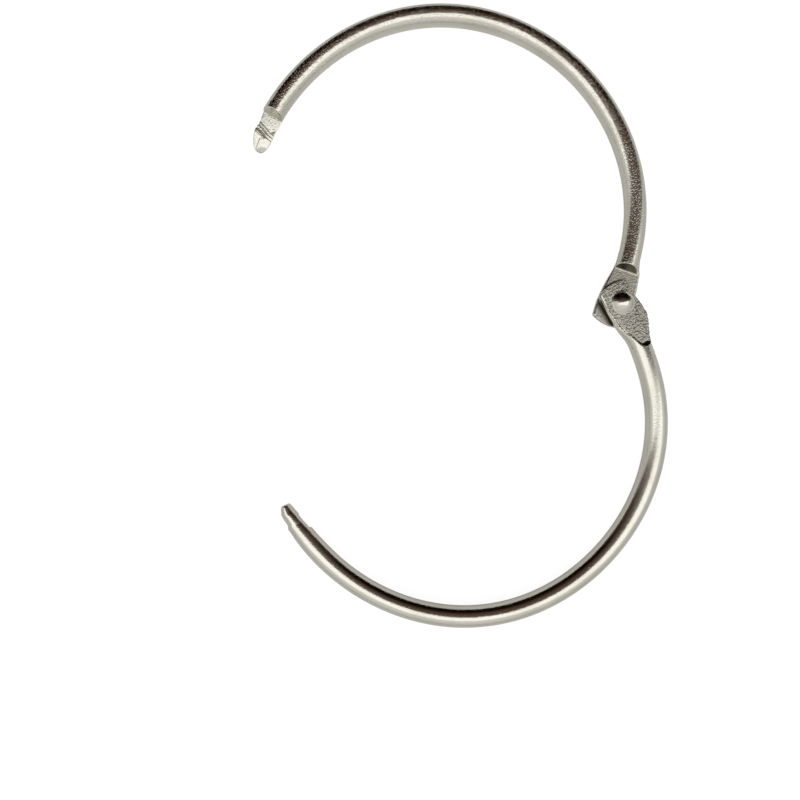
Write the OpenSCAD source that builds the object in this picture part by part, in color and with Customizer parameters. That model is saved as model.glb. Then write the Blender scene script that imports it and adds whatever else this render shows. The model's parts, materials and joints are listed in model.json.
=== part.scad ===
// Hinged binder ring, lying open on its side.
//
// Two half rings of round wire are riveted together at their flattened ears. The free ends are
// notched, so that the tongue of one half ring drops behind the hook of the other when it closes.
// Both half rings are drawn in the same way: with the rivet's axis at the origin, the middle of the
// wire at z = 0, the ear pointing along +Y and the mating side up. One is then turned over.

/* [Ring] */
// Inside diameter of each half ring, in mm
ring_id = 50; // [38:1:76]
// Diameter of the wire
wire_d = 3; // [2.6:0.1:4]
// Angle that a half ring covers, from the rivet's axis to the point where the free ends meet
half_span = 186.4; // [182:0.2:190]

/* [Pose] */
// Angle between the half rings as they lie open
open_angle = 58; // [30:1:90]

/* [Hinge ears] */
// Width of each flattened ear at its root
ear_w = 4.55; // [3.6:0.05:5.4]
// Thickness of each flattened ear
ear_t = 1; // [0.7:0.05:1.2]
// How far the rivet's axis lies outside the under half ring's wire
under_pin_out = 0.7; // [0:0.05:0.8]
// How far the rivet's axis lies outside the over half ring's wire
over_pin_out = 0.15; // [0:0.05:0.8]
// Straight run of wire from the rivet's axis to the start of the bend
ear_run = 5.5; // [5:0.1:8]
// From the rivet's axis to the outer side of the under ear, at its root
under_ear_out = 1.45; // [1.3:0.05:2.4]
// From the rivet's axis to the outer side of the over ear, at its root
over_ear_out = 2.15; // [1.3:0.05:2.4]
// How much narrower each ear is at its end than at its root
ear_flare = 0.5; // [0:0.05:0.8]
// From the rivet's axis to the end of the under ear
under_ear_reach = 3.4; // [2.6:0.05:4]
// From the rivet's axis to the end of the over ear
over_ear_reach = 2.95; // [2.6:0.05:4]
// Radius of the round at the end of each ear
ear_end_r = 4; // [3:0.1:6]
// How far the round wire's cut end leans away from the ear
step_lean = 17; // [0:1:30]
// Length of the flat that is pressed into the wire beyond the rivet's axis
press_l = 6.4; // [6:0.1:8]

/* [Rivet] */
// Diameter of the rivet's shank
rivet_d = 1.9; // [1.4:0.05:2.4]
// Diameter of the domed head
head_d = 3.15; // [2.6:0.05:4]
// Height of the domed head
head_h = 0.85; // [0.5:0.05:1.2]
// Diameter of the closed tail
tail_d = 2.7; // [2.2:0.05:3.4]
// Height of the closed tail
tail_h = 0.36; // [0.2:0.02:0.4]

/* [Lock] */
// Length of the tongue at the end of the over half ring
tongue_l = 1.95; // [1.2:0.05:4]
// Length of the hook at the end of the under half ring
hook_l = 1.9; // [1.2:0.05:2.4]
// From the meeting point to the back of the hook; below 0 it lies short of that point
hook_at = -0.45; // [-0.8:0.05:0.8]
// Depth of each notch below the middle of the wire
notch_drop = 0.45; // [0.2:0.05:0.7]
// Width of the groove behind the hook
groove_w = 0.7; // [0.4:0.05:1]
// Depth of that groove below its notch
groove_drop = 0.3; // [0.1:0.05:0.5]
// How far the shoulder behind each notch leans back
shoulder_lean = 19; // [0:1:40]
// How much larger the radius of the hook's round end is than the wire's
hook_blunt = 0.1; // [0.05:0.05:1]
// How much larger the radius of the tongue's round end is than the wire's
tongue_blunt = 0.3; // [0.05:0.05:1]

/* [Clearances] */
// Gap between the two ears
ear_gap = 0.05; // [0.03:0.01:0.2]
// Radial play of the shank in the over ear
pin_play = 0.04; // [0.02:0.01:0.1]
// Gap under the domed head
head_gap = 0.04; // [0.02:0.01:0.2]
// Room for each ear's corner to pass the other half ring's step
swing_gap = 0.3; // [0.1:0.05:0.5]
// Gap between the tongue and the hook as they pass over each other
lock_lift = 0.06; // [0.04:0.01:0.2]
// Gap between the backs of the hook and the tongue when the ring is closed
lock_gap = 0.25; // [0.1:0.05:0.5]
// Free length ahead of the tongue's end when the ring is closed
seat_gap = 1.1; // [0.2:0.05:1.4]

/* [Hidden] */
$fn = 96;

// Wire and bend
wire_r = wire_d / 2;
clear_z = wire_d;
ring_r = (ring_id + wire_d) / 2;

// Ears
face_z = -ear_gap / 2;
back_z = face_z - ear_t;
under_corner = ear_corner(under_ear_out, under_ear_reach);
over_corner = ear_corner(over_ear_out, over_ear_reach);
step_at = max(under_corner, over_corner) + swing_gap;
ear_tail_w = 0.85 * sqrt(pow(wire_r, 2) - pow(back_z, 2));
blend_steps = 12;
inner_blend = [1, ear_run + 0.5];
outer_blend = [2.6, ear_run + 0.5];
wire_start = 2;
press_lean = 30;

// Lock, measured along the wire from the meeting point, positive towards the free end
hook_end = hook_at + hook_l;
hook_round = wire_r + hook_blunt;
tongue_round = wire_r + tongue_blunt;
tongue_back = lock_gap - hook_at;
tongue_end = tongue_back + tongue_l;
under_notch = [-tongue_end - seat_gap, hook_at];
over_notch = [-hook_end - lock_gap, tongue_back];
part_z = -lock_lift / 2;
notch_z = -notch_drop;
hook_groove = [[-groove_w, 0], [-groove_w, -groove_drop], [0, -groove_drop]];

// Turn of each half ring about the rivet, and the place of the rivet above the surface
hinge_x = (reach_left() - reach_right()) / 2;
hinge_y = (reach_side(over_pin_out) - reach_side(under_pin_out)) / 2;

// Angle covered by a length of wire
function arc_deg(l) = l / ring_r * 180 / PI;
// Distance from the rivet's axis to the bend's centre
function pivot_r(pin_out) = norm([ring_r + pin_out, ear_run]);
// Direction of the ear, from +Y
function ear_tilt(pin_out) = atan(ear_run / (ring_r + pin_out));
// Where the free ends meet, from the rivet's axis
function meet_point(pin_out) =
    [pivot_r(pin_out) + ring_r * cos(half_span - 180), ring_r * sin(half_span - 180)];
// Turn of a half ring about the rivet as the ring lies open
function arm_turn(pin_out) =
    open_angle / 2 + asin(meet_point(pin_out)[1] / norm(meet_point(pin_out)));
// Distance from the rivet's axis to the inner corner of an ear
function ear_corner(out, reach) =
    norm([ear_w - out, reach - ear_end_r + sqrt(pow(ear_end_r, 2) - pow(ear_w / 2, 2))]);
// Distance that a half ring's round end reaches to the left of the rivet's axis
function tip_reach(pin_out, end, round_r) =
    let (
        a = half_span + arc_deg(end - round_r) - arm_turn(pin_out),
        side = acos(wire_r / round_r)
    )
    pivot_r(pin_out) * cos(arm_turn(pin_out)) - ring_r * cos(a) + round_r * cos(max(0, side + a - 180));
function reach_left() =
    max(tip_reach(under_pin_out, hook_end, hook_round), tip_reach(over_pin_out, tongue_end, tongue_round));
// Distance that the half rings reach to the right of the rivet's axis
function reach_right() =
    ring_r + wire_r - min([for (p = [under_pin_out, over_pin_out]) pivot_r(p) * cos(arm_turn(p))]);
// Distance that a half ring reaches to its own side of the rivet's axis
function reach_side(pin_out) = ring_r + wire_r + pivot_r(pin_out) * sin(arm_turn(pin_out));
// Smooth step from 0 to 1
function ease(t) = (1 - cos(180 * t)) / 2;
// Points of an ear's side as it eases from one place to another along the ear
function ear_side(from_x, to_x, span) =
    [for (i = [0:blend_steps]) let (t = i / blend_steps)
        [from_x + (to_x - from_x) * ease(t), span[0] + (span[1] - span[0]) * t]];

// Moves what is drawn at a length along the wire to its place on the bend
module along_wire(pin_out, l) {
    translate([-pivot_r(pin_out), 0, 0])
        rotate([0, 0, half_span + arc_deg(l)])
            translate([ring_r, 0, 0])
                children();
}

// Turns what is drawn along +Y at the rivet's axis to the ear's direction
module along_ear(pin_out) {
    rotate([0, 0, ear_tilt(pin_out)]) children();
}

// Bent wire, from inside the ear to its round free end
module bent_wire(pin_out, end, round_r) {
    start = ear_tilt(pin_out) - arc_deg(ear_run - wire_start);
    difference() {
        translate([-pivot_r(pin_out), 0, 0])
            rotate([0, 0, start])
                rotate_extrude(angle = half_span + arc_deg(end + wire_r) - start)
                    translate([ring_r, 0])
                        circle(wire_r);
        along_wire(pin_out, end - round_r)
            linear_extrude(2 * wire_d, center = true)
                difference() {
                    translate([-wire_d, 0]) square(2 * wire_d);
                    circle(round_r);
                }
    }
}

// The same, with its free end cut down to half the wire and notched. The notch's floor ends with
// the points of notch_back, measured from its far end.
module wire(pin_out, end, round_r, notch, notch_back = [[0, 0]]) {
    middle = (notch[0] + notch[1]) / 2;
    far = notch[1] - middle;
    clear_y = end - middle + wire_r;
    difference() {
        bent_wire(pin_out, end, round_r);
        along_wire(pin_out, middle)
            cross_block(concat(
                [[-far - (clear_z - notch_z) * tan(shoulder_lean), clear_z], [-far, notch_z]],
                [for (p = notch_back) [far, notch_z] + p],
                [[far, part_z], [clear_y, part_z], [clear_y, clear_z]]));
    }
}

// Outline of an ear, from its round end to where it runs into the wire
module ear_outline(pin_out, out, reach) {
    inner = ear_w - out;
    end_y = ear_end_r - reach;
    inner_side = ear_side(-inner, -pin_out - ear_tail_w, inner_blend);
    outer_side = ear_side(out, -pin_out + ear_tail_w, outer_blend);
    intersection() {
        polygon(concat(
            [[-inner, -reach], [out - ear_flare, -reach]],
            outer_side,
            [for (i = [blend_steps:-1:0]) inner_side[i]]));
        union() {
            translate([(out - inner) / 2, end_y]) circle(ear_end_r);
            translate([-ear_w, end_y]) square([2 * ear_w, 2 * ear_run]);
        }
    }
}

// Flattened ear
module ear(pin_out, out, reach) {
    along_ear(pin_out)
        translate([0, 0, back_z])
            linear_extrude(ear_t)
                ear_outline(pin_out, out, reach);
}

// Block across the wire, from an outline seen from the side: along the wire, then up
module cross_block(outline) {
    rotate([90, 0, 90])
        translate([0, 0, -ear_w])
            linear_extrude(2 * ear_w)
                polygon(outline);
}

// Block across the ear that leaves a face leaning away from it, above a flat at height z
module press_block(end, lean, z) {
    cross_block([
        [-2 * ear_w, z],
        [end, z],
        [end + (clear_z - z) * tan(lean), clear_z],
        [-2 * ear_w, clear_z]]);
}

// What the press takes off the wire at the ear: the upper half, the back's crown and the bore
module ear_cuts(pin_out, bore_r) {
    along_ear(pin_out) {
        press_block(step_at, step_lean, face_z);
        mirror([0, 0, 1])
            press_block(press_l, press_lean, -back_z);
        translate([0, 0, -wire_d])
            cylinder(r = bore_r, h = 2 * wire_d);
    }
}

// Puts a half ring in its place beside the rivet, with its mating side up
module place_under() {
    rotate([0, 0, -arm_turn(under_pin_out)]) children();
}

// The same for the other half ring, turned over
module place_over() {
    mirror([0, 1, 0]) mirror([0, 0, 1]) rotate([0, 0, -arm_turn(over_pin_out)]) children();
}

// Puts the rivet's axis in its place, with the wire resting on z = 0
module place_hinge() {
    translate([hinge_x, hinge_y, wire_r]) children();
}

// Domed disc, drawn upwards from z = 0
module dome(d, h) {
    sphere_r = (pow(d / 2, 2) + pow(h, 2)) / (2 * h);
    intersection() {
        translate([0, 0, h - sphere_r]) sphere(sphere_r);
        cylinder(d = d, h = h);
    }
}

// Lower half ring, with the hook
module under_half_ring() {
    color("#c9c3b6")
        place_hinge()
            place_under()
                difference() {
                    union() {
                        wire(under_pin_out, hook_end, hook_round, under_notch, hook_groove);
                        ear(under_pin_out, under_ear_out, under_ear_reach);
                    }
                    ear_cuts(under_pin_out, rivet_d / 2 + pin_play);
                }
}

// Upper half ring, with the tongue
module over_half_ring() {
    color("#bdb7aa")
        place_hinge()
            place_over()
                difference() {
                    union() {
                        wire(over_pin_out, tongue_end, tongue_round, over_notch);
                        ear(over_pin_out, over_ear_out, over_ear_reach);
                    }
                    ear_cuts(over_pin_out, rivet_d / 2 + pin_play);
                }
}

// Rivet: its tail is closed against the under ear, and its head stands just clear of the over ear
module hinge_rivet() {
    head_z = -back_z + head_gap;
    color("#d8d3c8")
        place_hinge() {
            translate([0, 0, back_z]) cylinder(d = rivet_d, h = head_z - back_z);
            translate([0, 0, head_z]) dome(head_d, head_h);
            translate([0, 0, back_z]) mirror([0, 0, 1]) dome(tail_d, tail_h);
        }
}

under_half_ring();
over_half_ring();
hinge_rivet();
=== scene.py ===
# %% [markdown]
# # A hinged binder ring, lying open
#
# Two half rings of nickel-plated wire are riveted together at their flattened ears, and their free
# ends hook into each other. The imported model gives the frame: every size and place below comes from
# it or from a named value, in metres.

# %% Load the frame
import json
from math import atan, atan2, cos, degrees, hypot, pi, radians, sin, sqrt, tan
import bpy
import numpy as np
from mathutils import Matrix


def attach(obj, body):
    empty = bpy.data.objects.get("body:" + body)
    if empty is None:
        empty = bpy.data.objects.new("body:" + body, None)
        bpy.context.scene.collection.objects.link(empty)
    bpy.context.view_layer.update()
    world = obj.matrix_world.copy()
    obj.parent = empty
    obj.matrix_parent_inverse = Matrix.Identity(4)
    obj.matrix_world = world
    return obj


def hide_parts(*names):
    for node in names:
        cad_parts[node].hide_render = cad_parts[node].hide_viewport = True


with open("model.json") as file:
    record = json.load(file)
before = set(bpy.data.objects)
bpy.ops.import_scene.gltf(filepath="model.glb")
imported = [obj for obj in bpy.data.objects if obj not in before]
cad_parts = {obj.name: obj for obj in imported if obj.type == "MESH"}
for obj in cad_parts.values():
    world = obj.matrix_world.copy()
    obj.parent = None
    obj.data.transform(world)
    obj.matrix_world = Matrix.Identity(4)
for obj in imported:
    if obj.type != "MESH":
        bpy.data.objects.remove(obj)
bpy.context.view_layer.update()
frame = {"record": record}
MM = 0.001
hinge = frame["record"]["behaviour"]["joints"][0]
HINGE = np.array(hinge["pos_m"])

# %% [markdown]
# ## Shader maths as Python
#
# A node tree can be drawn with the mouse or typed. Typed maths reads best as an expression, so one
# small class wraps a socket, and each operator adds the Math node that works it out.

# %% A socket that does sums
class Socket:
    """An output of a node tree's node, or a number, with the operators that the materials use."""

    def __init__(self, tree, socket):
        self.tree = tree
        self.socket = socket

    def math(self, operation, *others):
        """A Math node whose inputs are this socket and then the others."""
        return self.tree.node("ShaderNodeMath", {"operation": operation}, dict(enumerate((self,) + others)))

    def __add__(self, other):
        return self.math("ADD", other)

    def __sub__(self, other):
        return self.math("SUBTRACT", other)

    def __mul__(self, other):
        return self.math("MULTIPLY", other)

    def __truediv__(self, other):
        return self.math("DIVIDE", other)

    def __rsub__(self, other):
        return self.tree.number(other).math("SUBTRACT", self)

    def __rtruediv__(self, other):
        return self.tree.number(other).math("DIVIDE", self)

    def __neg__(self):
        return self * -1

    __radd__ = __add__
    __rmul__ = __mul__

    def smooth(self, start, end):
        """0 up to start, 1 from end, and an S-curve between them; start may be the larger."""
        return self.tree.node(
            "ShaderNodeMapRange", {"interpolation_type": "SMOOTHSTEP"},
            {"Value": self, "From Min": start, "From Max": end})


def fill_ramp(elements, stops):
    """Sets a new ramp's elements, of which there are two at first, to the (place, colour) stops."""
    elements.remove(elements[1])
    for step, (place, colour) in enumerate(stops):
        element = elements.new(place) if step else elements[0]
        element.position = place
        element.color = (*colour, 1)


class Tree:
    """The node tree of a material or of the world."""

    def __init__(self, owner):
        owner.use_nodes = True
        self.owner = owner
        self.nodes = owner.node_tree.nodes
        self.links = owner.node_tree.links
        self.nodes.clear()

    def node(self, kind, settings=None, inputs=None, output=0):
        """Adds a node, makes its settings, and then fills its inputs with values or links.

        A ramp's stops are one of its settings.
        """
        node = self.nodes.new(kind)
        for name, value in (settings or {}).items():
            if name == "stops":
                fill_ramp(node.color_ramp.elements, value)
            else:
                setattr(node, name, value)
        for name, value in (inputs or {}).items():
            if isinstance(value, Socket):
                self.links.new(value.socket, node.inputs[name])
            else:
                node.inputs[name].default_value = value
        return Socket(self, node.outputs[output]) if node.outputs else node

    def number(self, value):
        """A plain number as a socket."""
        return self.node("ShaderNodeMath", {"operation": "ADD"}, {0: value, 1: 0.0})

    def dot(self, vector, axis):
        """The vector's part along an axis."""
        return self.node(
            "ShaderNodeVectorMath", {"operation": "DOT_PRODUCT"}, {0: vector, 1: tuple(axis)}, "Value")

    def scaled(self, vector, factors):
        """The vector with each of its parts times its own factor."""
        return self.node("ShaderNodeVectorMath", {"operation": "MULTIPLY"}, {0: vector, 1: factors})

    def noise(self, vector, scale, detail=2.0):
        """A cloudy pattern between about 0.2 and 0.8, with scale patches to a unit of the vector."""
        return self.node("ShaderNodeTexNoise", {"noise_dimensions": "3D"},
                         {"Vector": vector, "Scale": scale, "Detail": detail, "Roughness": 0.6})

    def mix(self, factor, first, second, blend="MIX"):
        """Colour first at factor 0 and second at factor 1."""
        return self.node(
            "ShaderNodeMix", {"data_type": "RGBA", "blend_type": blend}, {0: factor, 6: first, 7: second}, 2)

    def grey(self, value):
        """A number as a colour."""
        return self.node("ShaderNodeCombineXYZ", inputs={0: value, 1: value, 2: value})

    def ramp(self, value, stops):
        """A colour ramp through (place, colour) stops."""
        return self.node("ShaderNodeValToRGB", {"stops": stops}, {0: value})


# %% [markdown]
# ## Camera
#
# The ring is seen from straight above. The camera is placed from the rivet, whose place the frame gives:
# so far to its left, so far below it in the view, and so high. It is turned a little about the vertical.

# %% Camera
VIEW_TURN = radians(-4.75)
VIEW_HEIGHT = 113.2 * MM
HINGE_RIGHT = 30.25 * MM
HINGE_UP = 13.22 * MM
FIELD_OF_VIEW = radians(51.5)

view_right = np.array([cos(VIEW_TURN), sin(VIEW_TURN), 0.0])
view_up = np.array([-sin(VIEW_TURN), cos(VIEW_TURN), 0.0])
camera = bpy.data.objects.new("camera", bpy.data.cameras.new("camera"))
bpy.context.scene.collection.objects.link(camera)
bpy.context.scene.camera = camera
camera.data.sensor_width = 36
camera.data.angle = FIELD_OF_VIEW
camera.data.clip_start = 0.01
camera.rotation_euler = (0, 0, VIEW_TURN)
camera.location = HINGE - HINGE_RIGHT * view_right - HINGE_UP * view_up + np.array([0, 0, VIEW_HEIGHT])
print("camera at", tuple(camera.location))

# %% [markdown]
# ## A room to be mirrored
#
# Polished metal shows little but its surroundings, so the world is the light. It is a pale room with a
# brighter patch overhead and one dark side, black near the horizon and brown above, which gives a bent
# wire its stripes. The camera itself sees white, so only the reflections know about the dark side.
# The dark side is measured by the angle from its middle, after the direction's part to the right is cut
# by a fifth, which makes it wider than it is high.

# %% World
DARK_AZIMUTH = radians(92)
DARK_TILT = radians(62)
DARK_BLACK = (0.004, 0.003, 0.002, 1)
DARK_BROWN = (0.085, 0.047, 0.035, 1)
HORIZON_GREY = (0.55, 0.55, 0.53, 1)
HORIZON_RISE = (-0.02, 0.09)
WHITE = (1, 1, 1, 1)
HEART_RISE = (0.55, 0.94)
HEART_RIM = (34, 44)
WIDENED = 0.2
EDGE_END = 90
DARK_EDGE = ((42, (0.07, 0.045, 0.034)), (51, (0.1, 0.08, 0.068)), (57, (0.16, 0.145, 0.135)),
             (60, (0.26, 0.26, 0.25)), (65, (1, 1, 1)))

world = bpy.data.worlds.new("studio")
bpy.context.scene.world = world
bpy.context.scene.view_settings.view_transform = "Standard"
tree = Tree(world)
direction = tree.node("ShaderNodeTexCoord", output="Generated")
right = tree.dot(direction, view_right)
up = tree.dot(direction, view_up)
rise = tree.dot(direction, (0, 0, 1))
dark_way = (sin(DARK_TILT) * (cos(DARK_AZIMUTH) * view_right + sin(DARK_AZIMUTH) * view_up)
            + np.array([0, 0, cos(DARK_TILT)]))
wide = tree.scaled(tree.grey(right), tuple(WIDENED * view_right))
narrowed = tree.node("ShaderNodeVectorMath", {"operation": "SUBTRACT"}, {0: direction, 1: wide})
narrowed = tree.node("ShaderNodeVectorMath", {"operation": "NORMALIZE"}, {0: narrowed})
from_dark = tree.dot(narrowed, dark_way).math("ARCCOSINE") * degrees(1)
edge = tree.ramp(from_dark / EDGE_END, [(angle / EDGE_END, colour) for angle, colour in DARK_EDGE])
heart = tree.mix(rise.smooth(*HEART_RISE), DARK_BLACK, DARK_BROWN)
shade = tree.mix(from_dark.smooth(*HEART_RIM), heart, edge)
grey = tree.mix(rise.smooth(*HORIZON_RISE), HORIZON_GREY, shade)

# %% World's brightness
WALLS, CEILING, PATCH = 0.5, 0.22, 0.48
CEILING_RISE = (0.0, 0.75)
PATCH_SIDES = (1.0, 1.35)
PATCH_FOOT = (0.55, 0.8)
LEAST_RISE = 0.05

# A direction divided by its rise is a place on a ceiling of height 1, and the patch is a part of that.
height = rise.math("MAXIMUM", LEAST_RISE)
between_sides = 1 - (right / height).math("ABSOLUTE").smooth(*PATCH_SIDES)
overhead = between_sides * (1 - (-up / height).smooth(*PATCH_FOOT))
level = WALLS + CEILING * rise.smooth(*CEILING_RISE) + PATCH * overhead
room = tree.mix(1.0, grey, tree.grey(level), "MULTIPLY")
seen = tree.node("ShaderNodeLightPath", output="Is Camera Ray")
light = tree.node("ShaderNodeBackground", inputs={"Color": tree.mix(seen, room, WHITE), "Strength": 1.0})
tree.node("ShaderNodeOutputWorld", inputs={"Surface": light})
print("the room's dark side lies towards", np.round(dark_way, 2))
print("the world's tree has", len(tree.nodes), "nodes")

# %% [markdown]
# ## Floor
#
# A sheet of white paper would come out pale grey under this light. Mixing in an emission that only
# camera rays see in full keeps it white and still lets the ring's soft shadow show.

# %% Floor
FLOOR_SIZE = 1.2
PAPER_WHITE = (0.85, 0.85, 0.84, 1)
GLOW = 1.18
GLOW_SEEN, GLOW_MIRRORED = 0.8, 0.1

bpy.ops.mesh.primitive_plane_add(size=FLOOR_SIZE, location=(0, 0, 0))
floor = bpy.context.object
floor.name = "floor"
tree = Tree(bpy.data.materials.new("paper"))
seen = tree.node("ShaderNodeLightPath", output="Is Camera Ray")
mirrored = tree.node("ShaderNodeLightPath", output="Is Glossy Ray")
paper = tree.node("ShaderNodeBsdfDiffuse", inputs={"Color": PAPER_WHITE})
glow = tree.node("ShaderNodeEmission", inputs={"Color": WHITE, "Strength": GLOW})
share = seen * GLOW_SEEN + mirrored * GLOW_MIRRORED
sheet = tree.node("ShaderNodeMixShader", inputs={0: share, 1: paper, 2: glow})
tree.node("ShaderNodeOutputMaterial", inputs={"Surface": sheet})
floor.data.materials.append(tree.owner)
print("floor of", tuple(floor.dimensions)[:2], "m")

# %% [markdown]
# ## The wire as a path
#
# Each half ring is one length of 3 mm wire. It is straight at the hinge and then bent to a circle. The
# path is drawn with the rivet's axis at the origin and the mating side up, and a piece is placed last.
# A point of the path is found from its distance along the wire, so a whole array of distances gives a
# whole array of points.

# %% The path of a half ring
WIRE_R = 1.5
BEND_R = 26.5
EAR_RUN = 5.5
HALF_SPAN = radians(186.4)
OPEN_ANGLE = radians(58)


class Path:
    """The middle of one half ring's wire, in mm: a straight run at the hinge, then an arc."""

    def __init__(self, pin_out):
        self.pin_out = pin_out
        self.pivot_r = hypot(BEND_R + pin_out, EAR_RUN)
        self.tilt = atan(EAR_RUN / (BEND_R + pin_out))
        meet_x = self.pivot_r + BEND_R * cos(HALF_SPAN - pi)
        self.turn = OPEN_ANGLE / 2 + atan2(BEND_R * sin(HALF_SPAN - pi), meet_x)
        self.meet = EAR_RUN + BEND_R * (HALF_SPAN - self.tilt)

    def place(self, along, across):
        """The point at a distance along the wire and a distance outwards from its middle.

        On the straight run the point is along times the ear's direction plus across times the outward
        one. On the bend it lies on a circle about the bend's centre, at the bend's radius plus across.
        """
        angle = self.tilt + np.maximum(along - EAR_RUN, 0) / BEND_R
        back = np.minimum(along - EAR_RUN, 0)
        radius = BEND_R + across
        x = radius * np.cos(angle) - self.pivot_r - back * sin(self.tilt)
        y = radius * np.sin(angle) + back * cos(self.tilt)
        return x, y


def spun(x, y, angle):
    """The point (x, y) turned about the origin: (x cos a - y sin a, x sin a + y cos a)."""
    return x * cos(angle) - y * sin(angle), x * sin(angle) + y * cos(angle)


print("from a rivet on its middle line to where the free ends meet, a wire is", round(Path(0).meet, 1), "mm")

# %% [markdown]
# ## A shape as a field
#
# The ear, the pressed flats and the lock are all cut or squeezed out of the same wire. Their section
# changes all the way, so a circle carried along the path isn't enough. Instead the solid is a *field*: a
# function of the place that is below zero inside. Fields are joined with the smaller value and cut with
# the larger one, and rounding that choice a little rounds the edge between them, as pressing does.

# %% Joining and cutting fields
def smooth_max(a, b, rounding):
    """The larger of a and b, with a parabola in place of the corner where they are within rounding."""
    near = np.maximum(rounding - np.abs(a - b), 0) / rounding
    return np.maximum(a, b) + near ** 2 * rounding / 4


def smooth_min(a, b, rounding):
    """The smaller of a and b, with its corner rounded in the same way."""
    return -smooth_max(-a, -b, rounding)


def ease(x, start, end):
    """0 up to start and 1 from end, with the curve 3t^2 - 2t^3 between them."""
    t = np.clip((x - start) / (end - start), 0, 1)
    return t * t * (3 - 2 * t)


CORNER_ROUNDING = 0.3


def bend_line(x, *stations):
    """Straight lines through (place, value) pairs, averaged over CORNER_ROUNDING to round their corners."""
    places, values = zip(*stations)
    shifts = np.linspace(-CORNER_ROUNDING / 2, CORNER_ROUNDING / 2, 7)
    return sum(np.interp(x + shift, places, values) for shift in shifts) / len(shifts)


print("an edge of two faces that meet at 0 is drawn in by", smooth_max(0.0, 0.0, 0.1), "at a rounding of 0.1")

# %% [markdown]
# ## The half ring's field
#
# Four things make up the field of a half ring, in mm, with s along the wire, w outwards from its middle
# and z up: the round wire, the flattened ear, what the press took off the mating side, and the flat
# that the other half of the press left in the back. A half ring's own measures are kept together in one
# small class, so that both half rings come out of the same functions.

# %% What the two half rings share
EAR_FACE = -0.025
EAR_BACK = -1.025
EAR_END_R = 5.0
EAR_END_MIDDLE = 0.3
STEP_AT = 4.42
STEP_LEAN = tan(radians(25))
SHOULDER_LEAN = tan(radians(19))
STEP_SLANT = 0.055
CLEAR = 3.0


def ear_end_setback(w):
    """How far the ear's round end stands back at w: its radius less sqrt(radius^2 - distance^2).

    The distance is from the arc's middle, and is held to 4 mm, so that the root is of a positive number.
    """
    across = np.clip(w - EAR_END_MIDDLE, -4, 4)
    return EAR_END_R - np.sqrt(EAR_END_R ** 2 - across ** 2)


class Half:
    """One half ring: its path, its ear's sides and reach, and its lock's end, sides and height."""

    def __init__(self, pin_out, reach, ear_in, ear_out, wave, lock_end, lock_round, lock_sides, lock_height):
        self.path = Path(pin_out)
        self.reach = reach
        self.ear_in = ear_in
        self.ear_out = ear_out
        self.wave = wave
        self.lock_end = self.path.meet + lock_end
        self.lock_round = lock_round
        self.lock_sides = lock_sides
        self.lock_height = lock_height


# %% Round wire
def wire_field(half, s, w, z):
    """Distance from the wire's middle less its radius, squeezed between the sides of the lock.

    The sides say how far the wire reaches outwards, inwards and down near its free end.
    """
    out, back, down = half.lock_sides(s - half.path.meet)
    middle = (out - back) / 2
    squeeze = (out + back) / (2 * WIRE_R)
    return np.hypot((w - middle) / squeeze, z / down) - WIRE_R


# %% Grain that the press leaves
GRAIN_WAVES = 18
draws = np.random.default_rng(11)
grain_way = draws.uniform(0, pi, GRAIN_WAVES)
grain_pitch = draws.uniform(0.3, 0.6, GRAIN_WAVES)
grain_phase = draws.uniform(0, 2 * pi, GRAIN_WAVES)


def grain(s, w):
    """Plane waves of 0.3 to 0.6 mm in many directions, added up to a height of about 1 either way."""
    height = 0
    for way, pitch, phase in zip(grain_way, grain_pitch, grain_phase):
        height = height + np.sin((s * cos(way) + w * sin(way)) * 2 * pi / pitch + phase)
    return height / sqrt(GRAIN_WAVES)


# %% Ear
LIP_HEIGHT, LIP_AT, LIP_WIDTH = 0.05, 0.04, 0.045
GROOVE_DEPTH, GROOVE_AT, GROOVE_WIDTH = 0.04, 0.15, 0.05


def facet_edge(s):
    """How far out the inner edge of the pressed flat lies: it crosses the wire on a slant."""
    return bend_line(s, (-3.0, -2.22), (0.0, -2.15), (1.0, -2.06), (2.0, -1.92), (3.0, -1.72), (3.5, -1.57),
                     (4.0, -1.35), (4.5, -1.04), (5.0, -0.7), (5.5, -0.46), (6.0, -0.3), (6.6, 0.0))


def valley(beside):
    """1 along the groove between the lip and the ear's own edge, and a bell curve to either side of it."""
    return np.exp(-((beside - GROOVE_AT) / GROOVE_WIDTH) ** 2)


def ear_field(half, s, w, z):
    """A plate between the ear's sides, whose back falls to its inner side from the pressed flat's edge.

    The fall is a superellipse: nearly square at the rivet, and a quarter ellipse towards the wire. A low
    lip stands along the flat's edge, where the press squeezed the metal up. The edges are bevelled on
    the mating side.
    """
    inner = half.ear_in(s)
    beside = facet_edge(s) - w
    fall = np.clip(beside / np.maximum(facet_edge(s) - inner, 0.05), 0, 1)
    near = 1 - ease(s, 1.5, 3.8)
    square = 2 + 6 * near
    lip = LIP_HEIGHT * np.exp(-((beside - LIP_AT) / LIP_WIDTH) ** 2) - GROOVE_DEPTH * near * valley(beside)
    lip = lip * ease(s, -2.8, -2.4)
    back = EAR_BACK * (1 - 0.96 * fall ** square) ** (1 / square) - lip
    bevel = 0.85 * np.maximum(z - EAR_FACE + 0.14, 0)
    sides = smooth_max(w - half.ear_out(s), inner - w, 0.1) + bevel
    slab = np.maximum(back - z, z - EAR_FACE - 0.06)
    return smooth_max(sides, slab, 0.1) + 2 * ease(s, 6.6, 8)


print("the flat's inner edge goes from", round(float(facet_edge(-3.0)), 2), "mm out at the ear's end")
print("to", round(float(facet_edge(6.6)), 2), "mm where the flat runs out")

# %% What the press takes off
FLAT_END = 6.26


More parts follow.
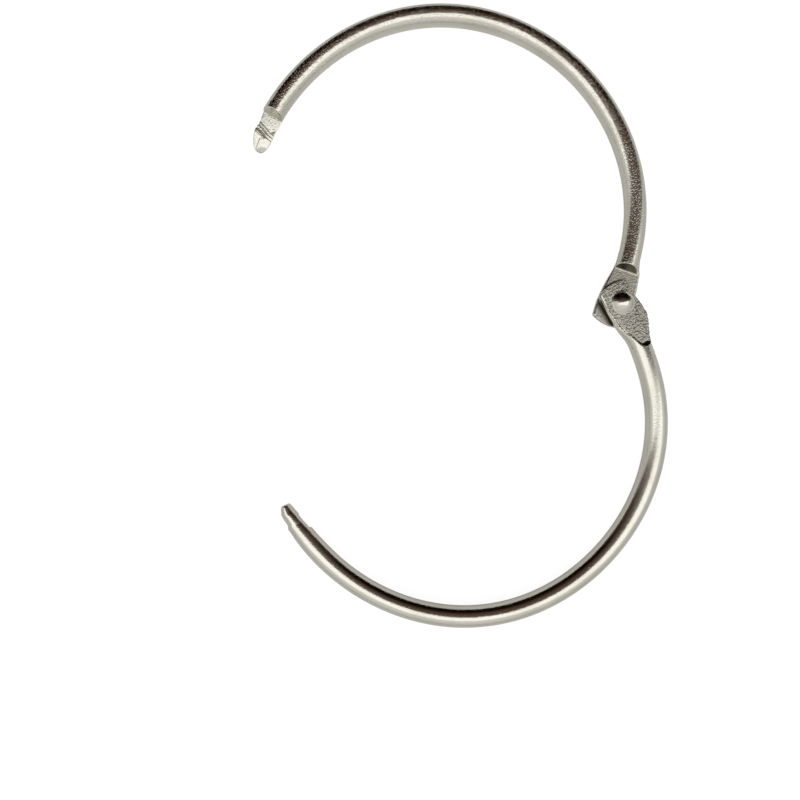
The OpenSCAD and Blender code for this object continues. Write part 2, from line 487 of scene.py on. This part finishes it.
def press_field(half, s, w, z):
    """Above the mating side: the ear's face with a low burr at its end, the leaning step, the lock."""
    past = s - STEP_AT + STEP_SLANT * w
    burr = 0.03 * np.exp(-((past + 0.06) / 0.045) ** 2)
    step = EAR_FACE + burr + 0.003 * grain(s, w) - 0.003 + np.maximum(past, 0) / STEP_LEAN
    lock = half.lock_height(s - half.path.meet, w)
    return z - np.minimum(np.minimum(step, lock), CLEAR)


def facet_field(half, s, w, z):
    """Below the back's flat, whose walls rise along its inner edge and, less steeply, at its end.

    The end is a parabola across the wire, and its wall is less steep towards the outer side.
    """
    end = FLAT_END - 0.5 * ((w - 0.6) / 0.8) ** 2
    crest = np.maximum(s - end, 0) * (0.84 - 0.45 * ease(w, 0.4, 1.2))
    wall = np.maximum(facet_edge(s) - w, 0) / 0.5 + crest
    return EAR_BACK + 0.004 * grain(s, w) - wall - z


def half_ring_field(half, s, w, z):
    """Below zero inside the half ring: wire and ear joined, then cut on both sides."""
    wire = wire_field(half, s, w, z)
    body = smooth_min(wire, ear_field(half, s, w, z), 0.3)
    body = smooth_max(body, press_field(half, s, w, z), 0.1)
    return smooth_max(body, facet_field(half, s, w, z), 0.08)


# %% [markdown]
# ## The two half rings' own measures
#
# The under half ring's free end is a hook: behind it the wire is cut down in a trough whose far side
# is torn into slanting ridges. The over half ring ends in a tongue, a little narrower than the wire, with
# a notch underneath. Places near the lock are measured from where the free ends meet.

# %% Under half ring: ear and hook
def rounded_corner(s, end, radius):
    """How far a side draws in near its end, as a quarter circle."""
    part = np.clip((end + radius - s) / radius, 0, 1)
    return radius * (1 - np.sqrt(1 - part ** 2))


def under_ear_in(s):
    """The ear's inner side: lines that run out to the wire's own side."""
    return bend_line(s, (-3.4, -2.62), (-0.5, -2.58), (1.7, -2.22), (4.6, -1.6), (5.2, -1.4))


def under_ear_out(s):
    """The ear's outer side: lines that widen and draw in again, less a rounded corner at the end."""
    side = bend_line(s, (-3.4, 1.75), (-0.5, 2.2), (1.9, 2.28), (4.4, 2.05), (5.0, 1.84), (6.0, 1.6),
                     (6.8, 1.3))
    return side - rounded_corner(s, -3.4, 0.3)


def hook_sides(m):
    """How far the wire reaches outwards, inwards and, as a share, down at m from where the ends meet."""
    out = bend_line(m, (-4.5, 1.5), (-3, 1.48), (-1, 1.36), (0, 1.27), (0.5, 1.18), (1.0, 1.0), (1.3, 0.72),
                    (1.45, 0.4))
    back = bend_line(m, (-2.5, 1.5), (-1, 1.44), (0, 1.36), (0.6, 1.26), (1.0, 1.12), (1.3, 0.95),
                     (1.45, 0.72))
    down = bend_line(m, (-1, 1), (0.3, 0.97), (1.45, 0.84))
    return out, back, down


def hook_height(m, w):
    """A steep shoulder, a trough that deepens, torn terraces up its far side, and a falling hook.

    The terraces run on a slant, and each falls a little towards the tip between two steep rises. A
    fine crease runs along the hook.
    """
    shoulder = np.maximum(-3.75 - m, 0) / SHOULDER_LEAN
    trough = bend_line(m, (-3.75, -0.34), (-2.4, -0.61), (-1.5, -0.79), (0, -1.0))
    slant = m + 0.42 * w + 0.04 * np.sin(3 * w)
    torn = np.interp(
        slant,
        (-2.6, -1.95, -1.88, -1.47, -1.39, -0.98, -0.9, -0.4, 0.3, 1.5),
        (-0.66, -0.76, -0.48, -0.57, -0.32, -0.41, -0.08, -0.17, -0.35, -0.8))
    top = bend_line(m, (-0.9, -0.02), (-0.45, -0.1), (0.1, -0.24), (0.7, -0.46), (1.2, -0.78), (1.45, -0.98))
    crease = 0.06 * np.exp(-((w - 0.4 - 0.05 * m) / 0.06) ** 2) * ease(m, -0.6, -0.4)
    crown = 0.07 * w ** 2 * ease(m, -0.8, 0.2)
    return np.minimum(np.maximum(trough, torn), top) + shoulder - crown - crease


UNDER = Half(pin_out=0.7, reach=3.4, ear_in=under_ear_in, ear_out=under_ear_out, wave=(9, 96, 0.0),
             lock_end=1.45, lock_round=0.2, lock_sides=hook_sides, lock_height=hook_height)
print("behind the hook the trough lies", -round(float(hook_height(-2.2, 0)), 2), "mm below the wire's middle")

# %% Over half ring: ear and tongue
def over_ear_in(s):
    """The ear's inner side: lines that run out to the wire's own side."""
    return bend_line(s, (-3.0, -2.42), (0.5, -2.42), (2.0, -2.28), (3.0, -2.12), (4.0, -1.9), (5.0, -1.66),
                     (6.5, -1.5), (7.0, -1.3))


def over_ear_out(s):
    """The ear's outer side: lines, less a rounded corner, plus two sine waves multiplied, up to 0.05 mm.

    The waves are the uneven cut of the edge.
    """
    side = bend_line(s, (-2.95, 1.68), (-0.4, 1.9), (0.8, 2.2), (2.6, 2.44), (3.5, 2.22), (4.5, 1.86),
                     (5.4, 1.52), (6.1, 1.36), (6.6, 1.1))
    side = side + 0.05 * np.sin(8.3 * s) * np.sin(3.1 * s + 1) * ease(s, 0.0, 1.0)
    return side - rounded_corner(s, -2.95, 0.45)


def tongue_sides(m):
    """How far the wire reaches outwards, with a burr, inwards and, as a share, down at m."""
    burr = 0.06 * np.exp(-((m + 0.45) / 0.15) ** 2)
    out = bend_line(m, (-0.5, 1.5), (0.05, 1.28), (1.5, 1.38), (2.3, 1.05), (2.65, 0.85))
    back = bend_line(m, (-6, 1.5), (-4, 1.43), (-2, 1.3), (-1, 1.15), (0, 0.97), (0.6, 0.9), (2.65, 0.45))
    down = bend_line(m, (1.2, 1), (2.65, 0.9))
    return out + burr, back, down


def tongue_height(m, w):
    """A steep shoulder, a level notch, and a steep rise to the tongue's underside."""
    shoulder = np.maximum(-1.7 - m, 0) / SHOULDER_LEAN
    floor = bend_line(m, (0.55, -0.45), (0.75, -0.06), (1.6, -0.08), (2.65, -0.25))
    return floor + shoulder


OVER = Half(pin_out=0.15, reach=2.95, ear_in=over_ear_in, ear_out=over_ear_out, wave=(25, 82, 0.12),
            lock_end=2.65, lock_round=0.3, lock_sides=tongue_sides, lock_height=tongue_height)
overlap = UNDER.lock_end - UNDER.path.meet + OVER.lock_end - OVER.path.meet
print("when closed, the free ends overlap by", round(overlap, 2), "mm")

# %% [markdown]
# ## From the field to a mesh
#
# A general field needs a voxel mesher, which blurs edges. Here every section across the wire can be seen
# whole from one point inside it, so each vertex lies on a ray from that point and is found by halving:
# is the middle of what is left of the ray inside or outside? All the rays are halved at once. The
# rays aim at the corners of a box round the section, where the edges are, and sections crowd together
# where the shape changes.

# %% Where the sections stand
def section_places(half, crowds):
    """Distances along the wire whose spacing is 0.7 mm, and less inside each (start, end, spacing)."""
    start, end = -half.reach, half.lock_end
    fine = np.linspace(start, end, 40000)
    density = np.full(fine.shape, 1 / 0.7)
    for low, high, spacing in crowds:
        inside = ease(fine, low - 0.4, low) * (1 - ease(fine, high, high + 0.4))
        density = np.maximum(density, inside / spacing)
    count = np.concatenate([[0], np.cumsum((density[1:] + density[:-1]) / 2 * np.diff(fine))])
    return np.interp(np.linspace(0, count[-1], int(count[-1]) + 1), count, fine)


def around(count):
    """Points of a box from -1 to 1, crowded towards its corners, as (across, up) arrays."""
    quarter = -np.cos(pi * np.arange(count // 4) / (count // 4))
    one = np.ones(count // 4)
    across = np.concatenate([quarter, one, -quarter, -one])
    up = np.concatenate([-one, quarter, one, -quarter])
    return across, up


# %% Halving the rays
AROUND = 200
EAR_HEART_Z = -0.52
HALVINGS = 26
REACH = 4.5


def ear_heart(half, a):
    """Where the rays start near the hinge: in the middle of the ear, easing to the wire's own middle."""
    ear = 1 - ease(a, 4, 8)
    return (half.ear_in(a) + half.ear_out(a)) / 2 * ear, EAR_HEART_Z * ear


def half_ring_grid(half, places, heart, box):
    """Vertices of the sections at places, on rays from each section's heart towards its box.

    Near the ear's end the sections bend to its arc: a section's distance along the wire grows by the
    arc's setback, which fades over 2.5 mm. At both ends the field is raised by the part of a circle that
    rounds the edge.
    """
    a = places[:, None]
    across, up = around(AROUND)
    (heart_w, heart_z), (box_w, box_z) = heart(a), box(a)
    ray_w = box_w * across[None]
    ray_z = box_z * up[None]
    length = np.hypot(ray_w, ray_z)
    ray_w, ray_z = ray_w / length, ray_z / length
    fade = 1 - ease(a, -half.reach, -half.reach + 2.5)
    inset = (rounded_corner(a, -half.reach, 0.12)
             + rounded_corner(-a, -half.lock_end, half.lock_round))

    def place(reach):
        w = heart_w + ray_w * reach
        return a + fade * ear_end_setback(w), w, heart_z + ray_z * reach

    near = np.zeros(length.shape)
    far = np.full(length.shape, REACH)
    for _ in range(HALVINGS):
        middle = (near + far) / 2
        inside = half_ring_field(half, *place(middle)) + inset < 0
        near = np.where(inside, middle, near)
        far = np.where(inside, far, middle)
    return place(near)


# %% Making the mesh
WAVE = 0.1


def sway(s, crest, pitch, draw):
    """How far the bend lies outwards: WAVE times (a cosine less 1), so its crests touch the true circle.

    The troughs are twice WAVE further in. They are the flatter stretches that the former leaves, at a
    pitch in degrees. The free end draws in a little more, with the square of the angle.
    """
    turned = np.degrees((s - EAR_RUN) / BEND_R)
    wave = WAVE * (np.cos(np.radians(turned - crest) * 360 / pitch) - 1)
    return (wave - draw * (turned / 180) ** 2) * ease(s, 4.5, 10)


def to_frame(half, s, w, z, over):
    """From the half ring's own place to its place in the frame, in metres."""
    x, y = spun(*half.path.place(s, w + sway(s, *half.wave)), -half.path.turn)
    if over:
        y, z = -y, -z
    return np.stack([x, y, z], axis=-1) * MM + HINGE


def swept_mesh(name, points, uv, marks):
    """A closed mesh of sections: quads between them, and a fan from a middle point at each end.

    The UV map is named "along", and each mark is an array that becomes an attribute of the vertices.
    """
    sections, count = points.shape[:2]
    index = np.arange(sections * count).reshape(sections, count)
    here, ahead = index[:-1], index[1:]
    beside = np.roll(index, -1, axis=1)
    quads = np.stack([here, beside[:-1], beside[1:], ahead], axis=-1).reshape(-1, 4)
    first, last = sections * count, sections * count + 1
    fans = np.concatenate([
        np.stack([np.full(count, first), beside[0], index[0]], axis=-1),
        np.stack([np.full(count, last), index[-1], beside[-1]], axis=-1)])
    vertices = np.concatenate([points.reshape(-1, 3), points[[0, -1]].mean(axis=1)])
    mesh = bpy.data.meshes.new(name)
    mesh.from_pydata(vertices.tolist(), [], quads.tolist() + fans.tolist())
    corner = np.zeros(len(mesh.loops), dtype=np.int32)
    mesh.loops.foreach_get("vertex_index", corner)
    flat_uv = np.concatenate([uv.reshape(-1, 2), uv[[0, -1]].mean(axis=1)])
    mesh.uv_layers.new(name="along").data.foreach_set("uv", flat_uv[corner].ravel())
    for mark, values in marks.items():
        flat = np.concatenate([values.ravel(), values[[0, -1], 0]])
        mesh.attributes.new(mark, "FLOAT", "POINT").data.foreach_set("value", flat)
    mesh.shade_smooth()
    mesh.validate()
    piece = bpy.data.objects.new(name, mesh)
    bpy.context.scene.collection.objects.link(piece)
    print(name, len(mesh.vertices), "vertices,", len(mesh.polygons), "faces")
    return piece


# %% [markdown]
# ## Where the finish changes
#
# The press and the drawing die each mark their own part of a half ring, and so do the darkened places and
# the painted shadow and shade where the ears meet and beside the lip. A texture would need its own picture of
# them, but the fields know already which face a vertex lies on. So the fields are asked at every vertex, and
# the answers ride on the mesh as attributes that the material reads.

# %% The painted shadow line past the other ear's end
FAR_OFF = 9.0


def end_arc_distance(half, s, w):
    """How far a point of the under ear lies beyond the end of the over ear, with the ring open.

    The point is turned out of the under half ring's place and into the over one's.
    """
    x, y = spun(*half.path.place(s, w), -half.path.turn)
    other = OVER.path
    x, y = spun(x, -y, other.turn)
    x = x + other.pivot_r
    across = x * cos(other.tilt) + y * sin(other.tilt) - BEND_R
    along = -x * sin(other.tilt) + y * cos(other.tilt) + EAR_RUN
    inside = ease(across, -2.6, -2.3) * (1 - ease(across, 1.6, 1.9))
    return np.where(inside > 0.5, ear_end_setback(across) - OVER.reach - along, FAR_OFF)


# %% Marks for the finish
# Where the painted shadow of the over ear's wall lies on the under ear's face, and the way it fades.
CORNER_SHADOW_AT = (-3.5, 0.55)
CORNER_SHADOW_WAY = (-0.726, -0.688)


def crescent(s, w, z):
    """1 on the sliver past the flat's end, whose two edges are parabolas that meet at its tips."""
    beside = ((w - 0.65) / 0.75) ** 2
    start = ease(s, 5.95 + 0.4 * beside, 6.07 + 0.4 * beside)
    end = 1 - ease(s, 6.6 - 0.35 * beside, 6.7 - 0.35 * beside)
    return start * end * (1 - ease(beside, 0.8, 1.0)) * (1 - ease(z, -0.6, -0.3))


def finish_marks(half, s, w, z, over):
    """Where the material is rough, darkened, given painted shadow or frayed, from 0 to about 1, and the angle
    round the wire.

    pressed is 0.6 to 1.1 on the back's flat, 0.3 on the mating face and 0.1 in the lock. The dark mark
    darkens the leaning step at the ear's end and paints shade: a painted shadow in the corner in which the
    two ears meet, painted shade in fine lines in the creases on both sides of the lip, and a painted shadow
    line on the under ear's face just past the edge of the over half ring's ear. The over half ring has a dark
    crescent past its flat's end too. Each mark is a product of eased bands.
    """
    by_press = ease(press_field(half, s, w, z), -0.05, -0.01)
    by_facet = ease(facet_field(half, s, w, z), -0.05, -0.01)
    ear = 1 - ease(s, 7.0, 7.4)
    flat = by_facet * ear * (1 - ease(z - EAR_BACK, 0.03, 0.09)) * (0.62 + 0.48 * ease(w, -1.6, 1.8))
    face = by_press * ear * (1 - ease(z - EAR_FACE, 0.04, 0.1))
    step = by_press * ear * ease(z - EAR_FACE, 0.05, 0.12)
    marks = {"pressed": np.maximum(np.maximum(flat, 0.3 * face), 0.1 * by_press)}
    # Painted shadow: the under ear's face is darkened in the corner beside the over ear's wall, where that
    # wall's shadow falls with the ring open. It stays there at every pose.
    beside = (s - CORNER_SHADOW_AT[0]) * CORNER_SHADOW_WAY[0] + (w - CORNER_SHADOW_AT[1]) * CORNER_SHADOW_WAY[1]
    corner = face * (1 - ease(beside, 0.0, 0.9)) * ease(beside, -0.4, -0.1) * (1 - ease(s, -0.8, 0))
    # Painted shadow: a thin dark line on the under ear's face just past the end of the over ear, where it
    # lies with the ring open.
    before_end = end_arc_distance(half, s, w)
    line = face * ease(before_end, -0.12, -0.02) * (1 - ease(before_end, 0.12, 0.24))
    beside_flat = facet_edge(s) - w
    on_back = ear * (1 - ease(z - EAR_BACK, 0.15, 0.3)) * ease(s, -2.7, -2.4)
    # Painted shade: fine dark lines in the creases on both sides of the lip.
    groove = on_back * valley(beside_flat) * (1 - ease(s, 1.5, 3.8))
    lip_foot_shade = on_back * np.exp(-((beside_flat + 0.04) / 0.04) ** 2)
    dark = np.maximum(0.75 * step, np.maximum(groove, lip_foot_shade))
    here_only = crescent(s, w, z) if over else np.maximum(corner, 0.95 * line)
    # The dark mark: the step and the crescent darkened, with the painted shadow and painted shade above.
    marks["darkened_and_painted_shade"] = np.maximum(dark, here_only)
    marks["frayed"] = np.full(s.shape, 0.3 if over else 1.0)
    marks["turned"] = np.arctan2(w, -z if over else z)
    return marks


def half_ring(name, half, crowds, heart, box, over):
    """A half ring's piece. The UV map's parts are the way along the wire and round it, in centimetres."""
    places = section_places(half, crowds)
    s, w, z = half_ring_grid(half, places, heart, box)
    points = to_frame(half, s, w, z, over)
    sides = np.hypot(np.diff(w, axis=1, append=w[:, :1]), np.diff(z, axis=1, append=z[:, :1]))
    girth = np.cumsum(sides, axis=1)
    uv = np.stack([s / 10, girth / 10], axis=-1)
    return swept_mesh(name, points, uv, finish_marks(half, s, w, z, over))


# %% Under half ring
hook_at = UNDER.path.meet


def under_heart(a):
    """The ear's heart, which sinks with the wire where it is cut down for the hook."""
    w, z = ear_heart(UNDER, a)
    return w, z - 1.02 * ease(a, hook_at - 6, hook_at - 4)


def under_box(a):
    """Half the width and height of the box that the rays aim at, eased between its values.

    It is wide and low at the ear, square round the wire, and low and narrowing along the hook.
    """
    wire = ease(a, 3, 7)
    return (2.2 - 0.7 * wire - 0.9 * ease(a, hook_at, UNDER.lock_end),
            0.5 + wire - ease(a, hook_at - 6, hook_at - 4))


under_crowds = [
    (-3.4, -3.25, 0.012), (-3.2, 3.9, 0.09), (3.9, 4.2, 0.05), (4.2, 4.6, 0.022), (4.6, 7.3, 0.045),
    (hook_at - 4.7, hook_at - 3.6, 0.04), (hook_at - 3.6, hook_at - 2.5, 0.08),
    (hook_at - 2.5, hook_at, 0.034), (hook_at, hook_at + 1.2, 0.05),
    (hook_at + 1.2, UNDER.lock_end, 0.014)]
under_ring = half_ring("under_half_ring_shape", UNDER, under_crowds, under_heart, under_box, over=False)

# %% Over half ring
tongue_at = OVER.path.meet


def over_heart(a):
    """The ear's heart, which sinks with the wire where it is cut down for the tongue."""
    w, z = ear_heart(OVER, a)
    return w, z - 0.85 * ease(a, tongue_at - 4, tongue_at - 2)


def over_box(a):
    """Half the width and height of the box that the rays aim at, eased between its values.

    It is wide and low at the ear, square round the wire, and lower and a little narrower at the tongue.
    """
    wire = ease(a, 3, 7)
    return (2.1 - 0.6 * wire - 0.4 * ease(a, tongue_at, OVER.lock_end),
            0.5 + wire - 0.8 * ease(a, tongue_at - 4, tongue_at - 2))


over_crowds = [
    (-2.95, -2.8, 0.012), (-2.8, 3.0, 0.085), (3.0, 7.6, 0.04), (tongue_at - 2.6, tongue_at - 1.5, 0.05),
    (tongue_at - 1.5, tongue_at + 2.3, 0.07), (tongue_at + 0.4, tongue_at + 0.9, 0.03),
    (tongue_at + 2.3, OVER.lock_end, 0.016)]
over_ring = half_ring("over_half_ring_shape", OVER, over_crowds, over_heart, over_box, over=True)

# %% [markdown]
# ## Rivet
#
# The rivet is turned: a domed head, a plain shank through both ears, and a flatter dome where the tail
# was closed. A profile turned about the rivet's axis makes all of it in one surface.

# %% Rivet
RIVET_FACES = 128
HEAD_Z = 1.065
HEAD_R, HEAD_RISE = 1.575, 0.85
TAIL_R, TAIL_RISE = 1.35, 0.36
SHANK_R = 0.95
RIM = 0.06
CAP_POWER = 1.85
CAP_SOFT = 0.2
CAP_START = 0.004


def cap_profile(radius, rise, base, up):
    """(radius, height) points of a domed cap from its middle to its foot, whose rim is rounded under.

    The height at r is rise * (1 - (f(r) - f(0)) / (f(radius) - f(0))), where f(r) is r^2 + CAP_SOFT^2
    to the power of half CAP_POWER. So the cap is level in its middle, and nearly a parabola outside it.
    """
    def swell(r):
        return (r ** 2 + CAP_SOFT ** 2) ** (CAP_POWER / 2)

    top_r = np.linspace(CAP_START, radius - RIM, 40)
    top_z = rise * (1 - (swell(top_r) - swell(0)) / (swell(radius) - swell(0)))
    turn = np.linspace(0, pi / 2, 7)[1:]
    rim_r = radius - RIM + RIM * np.sin(turn)
    rim_z = top_z[-1] * np.cos(turn)
    foot = np.array([[radius - RIM, base]])
    cap = np.stack([np.append(top_r, rim_r), base + up * np.append(top_z, rim_z)], axis=-1)
    return np.concatenate([cap, foot])


def turned_mesh(name, profile):
    """A profile of (radius, height) points in mm turned about the rivet's axis.

    A point is (radius cos t, radius sin t, height) for t all the way round.
    """
    angle = np.linspace(0, 2 * pi, RIVET_FACES, endpoint=False)
    radius, height = profile[::-1, :1], profile[::-1, 1:]
    flat = np.ones(angle.shape)
    points = np.stack([radius * np.cos(angle), radius * np.sin(angle), height * flat], axis=-1)
    uv = np.stack([radius * flat / 10, angle / (2 * pi) * np.ones(radius.shape)], axis=-1)
    return swept_mesh(name, points * MM + HINGE, uv, {})


head = cap_profile(HEAD_R, HEAD_RISE, HEAD_Z, 1)
tail = cap_profile(TAIL_R, TAIL_RISE, EAR_BACK, -1)
shank_z = np.linspace(HEAD_Z, EAR_BACK, 12)
shank = np.stack([np.full(12, SHANK_R), shank_z], axis=-1)
rivet = turned_mesh("rivet_shape", np.concatenate([head, shank, tail[::-1]]))


# %% [markdown]
# ## Bores
#
# Both ears have a bore that the shank runs in. A Boolean modifier with the exact solver cuts it out of
# the finished mesh, and applying the modifier leaves plain faces.

# %% Bores
BORE_R = 0.99
DRILL_SIDES = 96
DRILL_LENGTH = 6.0


def bore(piece):
    """Cuts a cylinder about the rivet's axis out of a piece, and takes the drill away."""
    bpy.ops.mesh.primitive_cylinder_add(
        vertices=DRILL_SIDES, radius=BORE_R * MM, depth=DRILL_LENGTH * MM, location=HINGE, calc_uvs=False)
    drill = bpy.context.object
    cut = piece.modifiers.new("bore", "BOOLEAN")
    cut.object = drill
    cut.solver = "EXACT"
    bpy.context.view_layer.objects.active = piece
    bpy.ops.object.modifier_apply(modifier="bore")
    bpy.data.objects.remove(drill)
    print(piece.name, "after its bore has", len(piece.data.polygons), "faces")


bore(under_ring)
bore(over_ring)

# %% [markdown]
# ## Nickel
#
# Nickel plating is warmer and darker than chrome. It follows the surface under it: drawn wire has fine
# lines along it and a grain that frays the edge of a reflection, and the pressed flats are as rough
# as sand, with painted shade in dark specks where the sand is lowest. The height below is in millimetres, so
# one Bump node with a distance of a millimetre turns it into slopes. The flats are found by the attribute
# that their meshes carry.

# %% A plated material
NICKEL = (0.79, 0.765, 0.68, 1)
NICKEL_WARM = (0.72, 0.685, 0.585, 1)
NICKEL_PIT_SHADE = (0.17, 0.16, 0.13, 1)
NICKEL_FLAT = (0.58, 0.555, 0.49, 1)
DARKENED_AND_SHADE = (0.035, 0.028, 0.016, 1)


def plated(name, colour, roughness, height):
    """A metal whose colour and roughness vary, with bumps whose height is in mm."""
    tree = colour.tree
    slopes = tree.node("ShaderNodeBump", inputs={"Height": height, "Distance": MM, "Strength": 1.0})
    metal = tree.node("ShaderNodeBsdfPrincipled", inputs={
        "Base Color": colour, "Metallic": 1.0, "Roughness": roughness, "Normal": slopes})
    tree.node("ShaderNodeOutputMaterial", inputs={"Surface": metal})
    print("material", name, "has", len(tree.nodes), "nodes")
    return tree.owner


# %% Nickel on the wire
INNER_WAY = (-0.904, -0.427)
TOOL_RING_R = 1.7
DIE_LINE_AT = -0.3

tree = Tree(bpy.data.materials.new("nickel_wire"))
place = tree.node("ShaderNodeTexCoord", output="Object")
along = tree.node("ShaderNodeUVMap", {"uv_map": "along"})
pressed, darkened_and_painted_shade, frayed, turned = (
    tree.node("ShaderNodeAttribute", {"attribute_name": mark}, output="Fac")
    for mark in ("pressed", "darkened_and_painted_shade", "frayed", "turned"))
clouds = tree.noise(place, 140)
drawn = tree.noise(tree.scaled(along, (1.6, 90, 1)), 1, 3)
frays = tree.noise(place, 3800, 1)
pips = tree.noise(place, 5600, 0).smooth(0.56, 0.7)
sand = tree.noise(place, 5600, 1)
specks = tree.noise(place, 3500, 1)
scuffs = (tree.noise(tree.scaled(along, (6, 34, 1)), 1, 2) - 0.5).math("ABSOLUTE").smooth(0.012, 0.0)
die_line = (turned - DIE_LINE_AT).math("ABSOLUTE").smooth(0.035, 0.0) * (1 - frayed)

from_rivet = tree.node("ShaderNodeVectorMath", {"operation": "SUBTRACT"}, {0: place, 1: tuple(HINGE)})
from_rivet = tree.scaled(from_rivet, (1 / MM, 1 / MM, 0))
inner_way = INNER_WAY[0] * view_right + INNER_WAY[1] * view_up
inner_side = tree.dot(from_rivet, inner_way).smooth(0.3, 1.2)
distance = tree.node("ShaderNodeVectorMath", {"operation": "LENGTH"}, {0: from_rivet}, "Value")
tool_ring = (distance - TOOL_RING_R).math("ABSOLUTE").smooth(0.09, 0.0) * inner_side

# %% The wire's height, colour and roughness
round_wire = 1 - pressed.smooth(0.0, 0.2)
drawn_height = 0.009 * frayed * frays + 0.012 * frayed * pips + 0.005 * drawn - 0.0012 * scuffs
drawn_height = drawn_height - 0.004 * die_line
pressed_height = 0.05 * sand + 0.06 * specks - 0.02 * tool_ring
height = round_wire * drawn_height + pressed * pressed_height
# Painted shade: the pressed flats are darkened in the pits of the sand, where its bump height is lowest.
pit_shade = pressed.smooth(0.05, 1.1) * (1 - (sand * 0.5 + specks * 0.5).smooth(0.42, 0.52))
colour = tree.mix(clouds.smooth(0.42, 0.66) * 0.7, NICKEL, NICKEL_WARM)
colour = tree.mix(pressed.smooth(0.1, 1.0) * 0.85, colour, NICKEL_FLAT)
colour = tree.mix(pit_shade * 0.8, colour, NICKEL_PIT_SHADE)
# The dark mark: the step and the crescent darkened, painted shadow where the two ears meet, and painted shade
# in the lip's creases.
colour = tree.mix(darkened_and_painted_shade, colour, DARKENED_AND_SHADE)
roughness = 0.03 + 0.07 * clouds + 0.05 * scuffs * round_wire
roughness = roughness + 0.22 * pressed.smooth(0.02, 0.3) + 0.15 * darkened_and_painted_shade
wire_nickel = plated("nickel_wire", colour, roughness, height)

# %% Nickel on the rivet
tree = Tree(bpy.data.materials.new("nickel_rivet"))
place = tree.node("ShaderNodeTexCoord", output="Object")
clouds = tree.noise(place, 900)
fine = tree.noise(place, 3000, 2)
colour = tree.mix(clouds.smooth(0.4, 0.7) * 0.8, NICKEL, NICKEL_WARM)
rivet_nickel = plated("nickel_rivet", colour, 0.05 + 0.1 * clouds, 0.003 * fine + 0.06 * clouds)

# %% [markdown]
# ## Every piece in its place
#
# Each piece rides on the body that carries it and takes the place of the imported model's own solid, which is
# hidden. It gets the nickel material whose name is that of the solid's slot.

# %% Handing over
for piece, node, body, metal, slot in (
        (under_ring, "under_half_ring", "under", wire_nickel, "nickel_wire"),
        (over_ring, "over_half_ring", "over", wire_nickel, "nickel_wire"),
        (rivet, "hinge_rivet", "under", rivet_nickel, "nickel_rivet")):
    piece.data.materials.append(metal)
    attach(piece, body)
    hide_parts(node)
